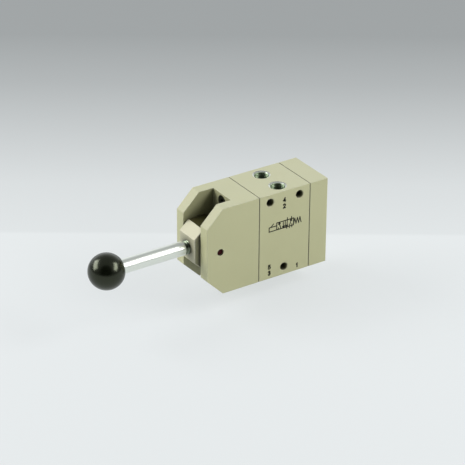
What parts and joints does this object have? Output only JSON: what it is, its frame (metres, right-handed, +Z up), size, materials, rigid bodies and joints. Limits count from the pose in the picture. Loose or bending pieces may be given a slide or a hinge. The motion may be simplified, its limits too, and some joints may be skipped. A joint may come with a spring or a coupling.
{
  "type": "hand lever air valve",
  "caption": "Hand lever air valve: a block-shaped body with threaded ports, a slotted housing and a ball-ended lever that presses twin spools against return springs.",
  "frame": {"origin": "centre of the valve body's underside", "axes": "+X from the lever towards the end cap, -Y the marked front face, +Z up, from the exhaust and supply ports to the outlets"},
  "size_m": [0.1404, 0.03, 0.051],
  "materials": {
    "housing_anodised": "bead blasted and anodised, matt beige",
    "plate_steel": "thin rolled sheet",
    "seal_rubber": "matt nitrile rubber",
    "pin_steel": "ground steel with a dull end",
    "washer_steel": "zinc plated",
    "block_aluminium": "milled, satin",
    "rod_chrome": "polished",
    "knob_black": "polished thermoset",
    "insert_brass": "turned",
    "plunger_steel": "ground and hardened",
    "spool_aluminium": "ground and anodised",
    "cage_plastic": "moulded acetal",
    "spring_steel": "drawn wire",
    "screw_steel": "zinc plated"
  },
  "bodies": {
    "valve": {"valve_body": "housing_anodised", "lever_housing": "housing_anodised", "end_cap": "housing_anodised", "seal_plate": "plate_steel", "cap_gasket": "seal_rubber", "pivot_pin": "pin_steel", "pivot_washers": "washer_steel", "plunger_bush": "insert_brass", "plunger_wiper": "seal_rubber", "front_spool_seals": "seal_rubber", "back_spool_seals": "seal_rubber", "front_spool_cages": "cage_plastic", "back_spool_cages": "cage_plastic", "front_return_spring": "spring_steel", "back_return_spring": "spring_steel", "housing_screws": "screw_steel", "cap_screws": "screw_steel"},
    "lever": {"lever_block": "block_aluminium", "lever_rod": "rod_chrome", "ball_knob": "knob_black", "knob_insert": "insert_brass"},
    "plunger": {"plunger": "plunger_steel", "bridge_plate": "plunger_steel"},
    "front_spool": {"front_spool": "spool_aluminium", "front_spring_seat": "cage_plastic"},
    "back_spool": {"back_spool": "spool_aluminium", "back_spring_seat": "cage_plastic"}
  },
  "joints": [
    {"name": "lever_swing", "type": "hinge", "parent": "valve", "child": "lever", "pos_m": [-0.04115, 0, 0.0255], "axis": [0, -1, 0], "range_deg": [0, 25], "stiffness_Nm_per_rad": 0.18, "springref_deg": -20.63},
    {"name": "plunger_slide", "type": "slide", "parent": "valve", "child": "plunger", "axis": [1, 0, 0], "range_m": [0, 0.0024]},
    {"name": "front_spool_slide", "type": "slide", "parent": "valve", "child": "front_spool", "axis": [1, 0, 0], "range_m": [0, 0.0024], "deforming": ["front_return_spring"]},
    {"name": "back_spool_slide", "type": "slide", "parent": "valve", "child": "back_spool", "axis": [1, 0, 0], "range_m": [0, 0.0024], "deforming": ["back_return_spring"]}
  ],
  "couplings": [
    {"joint": "plunger_slide", "follows": "lever_swing", "m_per_rad": 0.0055},
    {"joint": "front_spool_slide", "follows": "lever_swing", "m_per_rad": 0.0055},
    {"joint": "back_spool_slide", "follows": "lever_swing", "m_per_rad": 0.0055}
  ]
}
